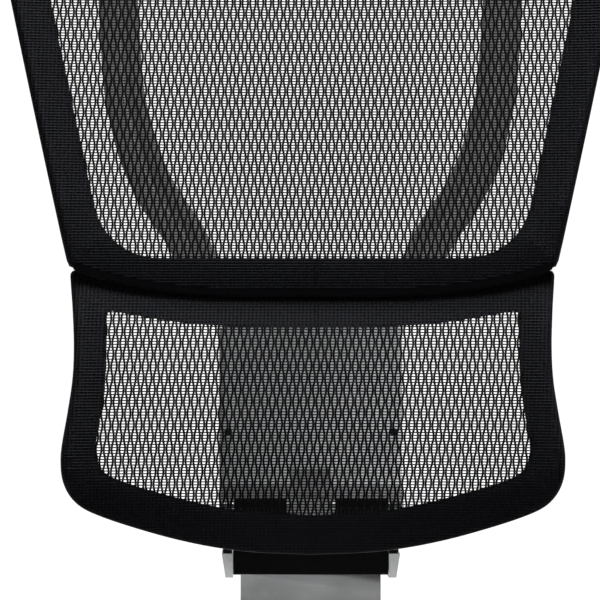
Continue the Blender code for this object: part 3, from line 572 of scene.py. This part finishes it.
class Panel:
    """A curved rim with cloth stretched over it."""

    lean = 0.0  # how far the yarns drift sideways for each step up

    def __init__(self, name, body, outlines, rim):
        self.name, self.body, self.rim = name, body, rim
        self.outline, self.inner = outlines
        out = np.roll(self.outline, -1, 0) - np.roll(self.outline, 1, 0)
        out = np.stack([out[:, 1], -out[:, 0]], 1)
        self.away = out / np.linalg.norm(out, axis=1)[:, None]
        self.outer = self.outline - self.away * RIM_INSET
        self.low, self.high = self.inner[:, 1].min(), self.inner[:, 1].max()
        right = self.inner[self.inner[:, 0] >= 0]
        order = np.argsort(right[:, 1])
        self.side = right[order]

    def roll(self, z):
        raise NotImplementedError

    def depth(self, x, z):
        raise NotImplementedError

    def front(self, x, z, inward, edge_z):
        """The depth of the rim's front, or of the cloth's middle in the opening."""
        share = np.clip(inward / SIDE_BAND, 0, 1)
        rolled = ROLL * self.roll(edge_z) * (1 - share) ** 1.5 * self.rim
        return self.depth(x, z) + rolled

    def taut(self, x, z):
        """How far the cloth in the opening comes forward, spanning between the side rails."""
        up = np.clip((z - self.low) / (self.high - self.low), 0, 1)
        half = np.interp(z, self.side[:, 1], np.maximum.accumulate(self.side[:, 0]))
        return MESH_TAUT * 4 * up * (1 - up) * PLAN_CURVE * np.maximum(0, half**2 - x**2)

    def lay(self, points):
        """Lay flat points on the panel: their places in space, the cloth's outward way, and the turn."""
        far, place, out = nearest_on(points, self.outer)
        past = np.maximum(0, far + EDGE_R)
        turn = past / EDGE_R
        base = np.where(past[:, None] > 0, place - out * EDGE_R, points)
        inward = np.where(past > 0, EDGE_R, -far)
        flat_x, flat_z = base[:, 0], base[:, 1]

        def height(x, z):
            return self.front(x, z, inward, place[:, 1]) - self.taut(x, z) - CLOTH_LIFT

        y = height(flat_x, flat_z)
        slope_x = (height(flat_x + 1, flat_z) - height(flat_x - 1, flat_z)) / 2
        slope_z = (height(flat_x, flat_z + 1) - height(flat_x, flat_z - 1)) / 2
        normal = np.stack([slope_x, -np.ones_like(y), slope_z], 1)
        normal /= np.linalg.norm(normal, axis=1)[:, None]
        away = np.stack([out[:, 0], np.zeros_like(y), out[:, 1]], 1)
        radius = EDGE_R + CLOTH_LIFT
        spot = np.stack([flat_x, y + radius, flat_z], 1)
        bent = spot + radius * (away * np.sin(turn)[:, None] + (0, -1, 0) * np.cos(turn)[:, None])
        flat = np.stack([flat_x, y, flat_z], 1)
        wrapped = past[:, None] > 0
        way = np.where(wrapped, normal * np.cos(turn)[:, None] + away * np.sin(turn)[:, None], normal)
        return np.where(wrapped, bent, flat), way, turn

    def runs(self, lines, half_wides, half_thicks, lifts, closeds, thin=1):
        """Cut flat lines at the end of the wrap and lay each remaining stretch on the panel."""
        lengths = [len(line) for line in lines]
        spots, ways, turns = self.lay(np.concatenate(lines))
        made, start = [], 0
        for n, half_wide, half_thick, lift, shade in zip(lengths, half_wides, half_thicks, lifts, closeds):
            kept = turns[start : start + n] < WRAP_END
            edges = np.flatnonzero(np.diff(np.concatenate([[0], kept.astype(int), [0]])))
            for a, b in zip(edges[::2], edges[1::2]):
                if b - a < 3:
                    continue
                some = np.arange(a, b)
                some = some[(turns[start + some] > 0) | (some % thin == 0) | (some == a) | (some == b - 1)]
                centre, way = spots[start + some], ways[start + some]
                ahead = np.gradient(centre, axis=0)
                ahead /= np.linalg.norm(ahead, axis=1)[:, None]
                across = np.cross(way, ahead)
                across /= np.linalg.norm(across, axis=1)[:, None]
                up = np.cross(ahead, across)
                centre = centre + way * lift[some][:, None]
                wide, thick = half_wide[some][:, None], half_thick[some][:, None]
                made.append((centre, across * wide, up * thick, shade[some]))
            start += n
        return made

    def closed(self, points):
        """0 in the opening and 1 over the rim, where the knit is closed."""
        far = nearest_on(points, self.inner)[0]
        return np.clip((far + 0.3) / 1.6, 0, 1)

    def yarns(self, period, columns):
        """Upright yarns that sway to and fro in pairs, which leaves staggered lens-shaped holes."""
        low, high = self.outer[:, 1].min() - 12, self.outer[:, 1].max() + 12
        step = period / ROWS_PER_PERIOD
        z = np.arange(round(low / step), high / step) * step
        lines, half_wides, half_thicks, lifts, closeds = [], [], [], [], []
        for j in columns:
            wave = np.cos(2 * pi * z / period + pi * j)
            sway = YARN_SWING * np.sign(wave) * np.abs(wave) ** SWAY_POWER
            drift = self.lean * (z - (self.low + self.high) / 2)
            line = np.stack([j * PITCH / 2 + sway + drift, z], 1)
            closed = self.closed(line)
            line[:, 0] -= sway * closed
            lines.append(line)
            half_wides.append((YARN_WIDE + (RIB_WIDE - YARN_WIDE) * closed) / 2)
            half_thicks.append((YARN_THICK + (RIB_THICK - YARN_THICK) * closed) / 2)
            lifts.append(-0.1 * closed)
            closeds.append(closed)
        return self.runs(lines, half_wides, half_thicks, lifts, closeds)

    def filaments(self, period, first, last):
        """Level threads that cross every hole several times."""
        low, high = self.outer[:, 1].min() - 6, self.outer[:, 1].max() + 6
        x = np.arange(first, last + 0.1, 1.6)
        step = period / ROWS_PER_PERIOD
        levels = (np.arange(round(low / step), high / step) + 0.5) * step
        lines = [np.stack([x, np.full_like(x, z)], 1) for z in levels]
        half_wides = [np.full(len(x), FILAMENT_WIDE / 2)] * len(lines)
        half_thicks = [np.full(len(x), FILAMENT_THICK / 2)] * len(lines)
        closeds = [self.closed(line) for line in lines]
        lifts = [0.18 * closed for closed in closeds]
        return self.runs(lines, half_wides, half_thicks, lifts, closeds, thin=5)


class UpperPanel(Panel):
    lean = 0.015

    def roll(self, z):
        return np.clip((430 - z) / 45, 0, 1)

    def depth(self, x, z):
        return UPPER_Y + UPPER_LEAN * (z - SEAM_Z) - PLAN_CURVE * x**2


class LumbarPanel(Panel):
    lean = 0.04

    def roll(self, z):
        return np.maximum(np.clip((215 - z) / 50, 0, 0.8), np.clip((z - 335) / 60, 0, 0.5))

    def depth(self, x, z):
        return LUMBAR_Y + LUMBAR_BULGE * ((z - LUMBAR_MID_Z) / LUMBAR_HALF) ** 2 - PLAN_CURVE * x**2


def rim_piece(panel, stuff):
    """The moulded rim under the cloth, with a full round outer edge."""
    outer, inner, away = panel.outer, panel.inner, panel.away
    columns = []

    def column(flat, y):
        columns.append(np.stack([flat[:, 0], y, flat[:, 1]], 1))

    for share in np.linspace(0.94, 0.2, 9):
        flat = outer + (inner - outer) * share
        far, place, _ = nearest_on(flat, outer)
        column(flat, panel.front(flat[:, 0], flat[:, 1], np.maximum(-far, EDGE_R), place[:, 1]))
    centre = outer - away * EDGE_R
    base = panel.front(centre[:, 0], centre[:, 1], EDGE_R, outer[:, 1])
    for turn in np.linspace(0.0, 1.0, 8) * pi / 2:
        column(centre + away * EDGE_R * sin(turn), base + EDGE_R * (1 - cos(turn)))
    back = panel.depth(outer[:, 0], outer[:, 1]) + panel.rim
    column(outer, np.maximum(base + EDGE_R + 0.3, back - 1.5))
    flat_back = [(share, 1.0) for share in (0.04, 0.35, 0.7, 0.93)]
    for share, deep in (*flat_back, (1.0, 0.85), (1.0, 0.35), (0.985, 0.12)):
        flat = outer + (inner - outer) * share
        column(flat, panel.depth(flat[:, 0], flat[:, 1]) + deep * panel.rim)
    piece = loft(f"{panel.name}_rim", np.stack(columns, 1), stuff, closed=True, smooth=50)
    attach(piece, panel.body)
    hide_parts(f"{panel.name}_frame")


def trim_piece(panel, stuff):
    """The glossy clip ring behind the rim, with a rounded lip; its grey colour is a painted highlight,
    standing for the light caught along the lip below the rim.
    """
    rings = []
    start = panel.rim + CLIP_GAP
    for outer, inner in zip(panel.outline, panel.inner):
        away = (outer - inner) / np.linalg.norm(outer - inner)
        lip = outer + away * CLIP_LIP
        hem = outer + (inner - outer) * CLIP_DEPTH
        ring = []
        for p, back in (
            (outer, 0.3),
            (lip - away * 0.2, 0.55),
            (lip, 1.0),
            (lip, 2.4),
            (lip - away * 0.4, 3.2),
            (outer - away * 0.6, 3.8),
            (outer - away * 2.0, 4.0),
            (hem + away * 1.5, 4.0),
            (hem + away * 0.4, 3.6),
            (hem, 2.6),
            (hem, 0.3),
        ):
            ring.append((p[0], panel.depth(p[0], p[1]) + start + back, p[1]))
        rings.append(ring)
    piece = loft(f"{panel.name}_clip", rings, stuff, closed=True, smooth=40)
    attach(piece, panel.body)
    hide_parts(f"{panel.name}_trim")


def cloth(panel, period, stuff):
    """The knitted mesh in two halves, each with its yarns and the filaments that cross them."""
    wide = 2 * (np.abs(panel.outer[:, 0]).max() + WRAP_MARGIN)
    reach = wide / 2 + THREAD_OVERRUN
    count = int(reach / (PITCH / 2))
    split_at = PITCH / 4
    for side, columns, ends in (
        ("left", range(-count, 1), (-reach, split_at + HALF_OVERLAP)),
        ("right", range(1, count + 1), (split_at, reach)),
    ):
        yarns = tubes(panel.yarns(period, columns), 4)
        filaments = tubes(panel.filaments(period, *ends), 4)
        groups = [(yarns, stuff["yarn"]), (filaments, stuff["filament"])]
        net = join_tubes(f"{panel.name}_net_{side}", groups)
        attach(net, panel.body)
        if side == "left":
            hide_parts(f"{panel.name}_mesh")


# ---------------------------------------------------------------- arms


def arm_pieces(stuff):
    """Bowed arms with a recessed front between two shoulders, and three slim ribs on each, whose pale colour
    is a painted highlight along the arms.
    """
    shape = [(-1.0, 0.15), (-0.995, -0.2), (-0.96, -0.5), (-0.9, -0.75), (-0.8, -0.92), (-0.66, -1.0)]
    shape += [(-0.5, -1.0), (-0.42, -0.94), (-0.37, -0.76), (-0.3, -0.72), (0.3, -0.72), (0.37, -0.76)]
    shape += [(0.42, -0.94), (0.5, -1.0), (0.66, -1.0), (0.8, -0.92), (0.9, -0.75), (0.96, -0.5)]
    shape += [(0.995, -0.2), (1.0, 0.15), (0.97, 0.6), (0.9, 0.85), (0.78, 1.0), (-0.78, 1.0)]
    shape += [(-0.9, 0.85), (-0.97, 0.6)]
    for name, side in (("left", -1), ("right", 1)):
        line = spline([(side * x, y, z) for x, y, z in ARM_ROUTE], 8)
        rings, ribs = [], {-0.5: [], 0.04: [], 0.56: []}
        for i, p in enumerate(line):
            share = i / (len(line) - 1)
            ahead = line[min(i + 1, len(line) - 1)] - line[max(i - 1, 0)]
            if i == 0:
                ahead = Vector((side * 18.4, 0, 21))
            blend = max(0.0, share - 0.5) * 2
            normal = Vector((2 * PLAN_CURVE * p.x * blend, 1, 0))
            normal = (normal - ahead * normal.dot(ahead) / ahead.length_squared).normalized()
            across = ahead.normalized().cross(normal).normalized()
            width = 27 + 8 * min(1.0, share * 4) - 3 * blend
            deep = 22 - 8 * blend
            rings.append([p + across * u * width / 2 + normal * v * deep / 2 for u, v in shape])
            if 4 < i < len(line) - 14:
                for at, made in ribs.items():
                    spot = p + across * at * width / 2 - normal * deep * 0.36
                    made.append((np.array(spot), np.array(across) * 0.8, np.array(normal) * 1.0, 1.0))
        arm = loft(f"arm_{name}_skin", rings, stuff["arm"], smooth=40)
        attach(arm, "back")
        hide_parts(f"arm_{name}")
        # slim ridges whose pale colour is a painted highlight
        for k, made in enumerate(ribs.values(), 1):
            run = tuple(np.array([m[n] for m in made]) for n in range(4))
            rib = facing_out(join_tubes(f"arm_{name}_rib_{k}", [(tubes([run], 8), stuff["arm_rib"])]))
            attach(rib, "back")


# ---------------------------------------------------------------- hard pieces from the CAD


def softened(node, stuff, width=0.6, segments=2, angle=28, name=None):
    """A copy of a CAD node with rounded edges and a finished material, which stands for it."""
    source = nodes[node]
    mesh = source.data.copy()
    bm = bmesh.new()
    bm.from_mesh(mesh)
    bmesh.ops.remove_doubles(bm, verts=bm.verts, dist=1e-6)
    bmesh.ops.dissolve_limit(bm, angle_limit=radians(0.6), verts=bm.verts, edges=bm.edges)
    bm.to_mesh(mesh)
    bm.free()
    mesh.materials.clear()
    mesh.materials.append(stuff)
    mesh.shade_smooth()
    mesh.set_sharp_from_angle(angle=radians(angle + 12))
    piece = bpy.data.objects.new(name or f"{node}_skin", mesh)
    bpy.context.scene.collection.objects.link(piece)
    if width:
        edge = piece.modifiers.new("edge", "BEVEL")
        edge.width = width * MM
        edge.segments = segments
        edge.limit_method = "ANGLE"
        edge.angle_limit = radians(angle)
        edge.use_clamp_overlap = True
        edge.harden_normals = True
    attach(piece, source["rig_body"])
    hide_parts(node)
    return piece


def hard_pieces(stuff):
    softened("jbar", stuff["alloy"], 1.6, 3)
    softened("carriage", stuff["satin"], 0.8)
    softened("hinge_bracket", stuff["bracket"], 0.5)
    softened("hub", stuff["arm"], 1.2, 3)
    softened("post", stuff["steel"], 0.5)
    softened("rack", stuff["steel"], 0.2)
    softened("pawl", stuff["steel"], 0.4)
    softened("fork_cover", stuff["cover"], 0.8, 3)
    softened("carriage_cover", stuff["plastic"], 0.8, 3)
    softened("link_bracket", stuff["plastic"], 0.9, 3)
    softened("headrest_cover", stuff["plastic"], 1.5, 3)
    softened("lumbar_carrier", stuff["plastic"], 0.8)
    for side in ("left", "right"):
        softened(f"knuckle_{side}", stuff["plastic"], 0.5)
        softened(f"guide_{side}", stuff["liner"], 0.5)
        softened(f"bumper_{side}", stuff["rubber"], 0.6, 3)
        softened(f"stop_{side}", stuff["rubber"], 0.3)
    plain = {"pawl_pin": "steel", "hinge_pin": "steel", "pawl_spring": "steel", "spring_left": "steel"}
    plain["spring_right"] = "steel"
    for node, thing in nodes.items():
        if "screw" in node or "bolt" in node:
            plain[node] = "screw"
    for node, finish in plain.items():
        thing = nodes[node]
        thing.data.materials.clear()
        thing.data.materials.append(stuff[finish])


def seam_lip(panel, stuff):
    """A knitted lip along the upper panel's foot, which hangs in front of the seam and hides it."""
    rings = []
    for i in range(LIP_STEPS + 1):
        x = (SEAM_HALF - 1) * (2 * i / LIP_STEPS - 1)
        z = seam_z(x)
        top, foot = z + LIP_RISE, z - LIP_HANG
        rise = panel.front(x, top, LIP_RISE, z) - CLOTH_LIFT
        hang = panel.front(x, z, 0, z) + 0.6
        ring = [(rise - 0.3, top), (hang - LIP_HALF, z), (hang - 0.7, foot + 0.5), (hang - 0.3, foot)]
        ring += [(hang + 0.3, foot), (hang + 0.7, foot + 0.5), (hang + LIP_HALF, z), (rise + LIP_HALF, top)]
        rings.append([(x, y, height) for y, height in ring])
    piece = loft("seam_lip", rings, stuff, smooth=50)
    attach(piece, panel.body)


# ---------------------------------------------------------------- stage


def world_light():
    """A studio with a bright backdrop behind the object, a dim room in front and dark below."""
    world = bpy.data.worlds.new("studio")
    bpy.context.scene.world = world
    world.use_nodes = True
    tree = world.node_tree
    tree.nodes.clear()
    place = add_node(tree, "ShaderNodeTexCoord")
    parts = add_node(tree, "ShaderNodeSeparateXYZ")
    tree.links.new(place.outputs["Generated"], parts.inputs["Vector"])

    def rise(output, start, end, low, high):
        node = add_node(tree, "ShaderNodeMapRange", interpolation_type="SMOOTHSTEP")
        for key, value in (("From Min", start), ("From Max", end), ("To Min", low), ("To Max", high)):
            node.inputs[key].default_value = value
        tree.links.new(parts.outputs[output], node.inputs["Value"])
        return node.outputs["Result"]

    def combine(operation, first, second):
        node = add_node(tree, "ShaderNodeMath", operation=operation)
        tree.links.new(first, node.inputs[0])
        tree.links.new(second, node.inputs[1])
        return node.outputs["Value"]

    backdrop = combine("MULTIPLY", rise("Y", 0.1, 0.7, 0.0, 0.35), rise("Z", -0.35, 0.1, 0.15, 1.0))
    room = rise("Z", -0.3, 0.8, 0.015, 0.08)
    soft = add_node(tree, "ShaderNodeBackground", Color=(1, 1, 1, 1))
    tree.links.new(combine("ADD", backdrop, room), soft.inputs["Strength"])
    white = add_node(tree, "ShaderNodeBackground", Color=(1, 1, 1, 1), Strength=1.05)
    path = add_node(tree, "ShaderNodeLightPath")
    mix = add_node(tree, "ShaderNodeMixShader")
    tree.links.new(path.outputs["Is Camera Ray"], mix.inputs["Fac"])
    tree.links.new(soft.outputs["Background"], mix.inputs[1])
    tree.links.new(white.outputs["Background"], mix.inputs[2])
    out = add_node(tree, "ShaderNodeOutputWorld")
    tree.links.new(mix.outputs["Shader"], out.inputs["Surface"])


def area_light(name, place, target, size, power):
    data = bpy.data.lights.new(name, "AREA")
    data.shape = "RECTANGLE"
    data.size, data.size_y = size
    data.energy = power
    lamp = bpy.data.objects.new(name, data)
    lamp.location = place
    lamp.rotation_euler = (Vector(target) - Vector(place)).to_track_quat("-Z", "Y").to_euler()
    bpy.context.scene.collection.objects.link(lamp)
    return lamp


def light_only(lamp, names):
    """A lamp that lights only some pieces, through the mesh; neither it nor its reflection is seen."""
    group = bpy.data.collections.new(f"lit_by_{lamp.name}")
    for name in names:
        group.objects.link(bpy.data.objects[name])
    lamp.light_linking.receiver_collection = group
    lamp.data.use_shadow = False
    lamp.visible_camera = False
    lamp.visible_glossy = False


def card(name, x, z, shine):
    """A glowing board level with the camera that diffuse light ignores; x and z are its extents."""
    size = (x[1] - x[0], z[1] - z[0])
    middle = Vector(((x[0] + x[1]) / 2, CARD_Y, (z[0] + z[1]) / 2))
    power = shine * pi * size[0] * size[1]
    lamp = area_light(name, middle, middle + Vector((0, 1, 0)), size, power)
    lamp.visible_diffuse = False


def stage(low):
    """A pale round floor under the foot, soft boxes, cards and the lamps for the parts behind the mesh."""
    bm = bmesh.new()
    bmesh.ops.create_circle(bm, cap_ends=True, radius=FLOOR_R, segments=96)
    mesh = bpy.data.meshes.new("floor")
    bm.to_mesh(mesh)
    bm.free()
    floor = bpy.data.objects.new("floor", mesh)
    floor.location = (0, 0.1, low[2] - 0.0005)
    pale, tree, shader = shader_material("floor_paint", (0.8, 0.8, 0.8), 0.6)
    tone = noise(tree, object_space(tree), 3.0)
    tree.links.new(ramp(tree, tone, (0.78, 0.78, 0.78), (0.82, 0.82, 0.82)), shader.inputs["Base Color"])
    mesh.materials.append(pale)
    bpy.context.scene.collection.objects.link(floor)
    floor.visible_diffuse = False
    world_light()
    area_light("key", (0.3, -0.35, 2.6), MIDDLE, (1.8, 0.8), 85)
    area_light("top", (0.2, 0.9, 2.4), MIDDLE, (1.8, 1.0), 10)
    card("card_room", (-0.7, 0.7), (-0.5, 0.7), 0.17)
    card("card_right", (0.2, 0.6), (-0.4, 0.6), 0.95)
    arms = [thing.name for thing in bpy.data.objects if thing.name.startswith("arm_")]
    block = ["carriage_skin", "hinge_bracket_skin", "hub_skin"]
    light_only(area_light("front_arms", (0.1, -1.6, 0.5), MIDDLE, (0.5, 0.5), 14), arms)
    light_only(area_light("front_block", (0.1, -1.6, 0.5), MIDDLE, (0.5, 0.5), 3), block)
    kicker = area_light("kicker", (0.22, 0.0, 0.11), (0.05, 0.205, 0.2), (0.1, 0.1), 0.8)
    light_only(kicker, block)


def camera():
    """Level, square to the panels and far away; the small shift frames the object off centre."""
    data = bpy.data.cameras.new("camera")
    data.sensor_width = SENSOR
    data.lens = SENSOR * VIEW_DISTANCE / VIEW_WIDE
    data.shift_x = (-VIEW_SIDE - AXIS_OFFSET) / VIEW_WIDE
    data.clip_end = 50
    thing = bpy.data.objects.new("camera", data)
    thing.location = (VIEW_SIDE, MIDDLE[1] - VIEW_DISTANCE, VIEW_Z)
    thing.rotation_euler = (pi / 2, 0, 0)
    bpy.context.scene.collection.objects.link(thing)
    bpy.context.scene.camera = thing


def main():
    bpy.context.scene.view_settings.view_transform = "Standard"
    stuff = make_materials()
    upper = UpperPanel("upper", "back", upper_outlines(), UPPER_RIM)
    lumbar = LumbarPanel("lumbar", "lumbar", lumbar_outlines(), LUMBAR_RIM)
    for panel, period in ((upper, UPPER_PERIOD), (lumbar, LUMBAR_PERIOD)):
        rim_piece(panel, stuff["rim"])
        trim_piece(panel, stuff["trim"])
        cloth(panel, period, stuff)
    arm_pieces(stuff)
    hard_pieces(stuff)
    seam_lip(upper, stuff["rim"])
    stage(cad_box[0])
    camera()


main()
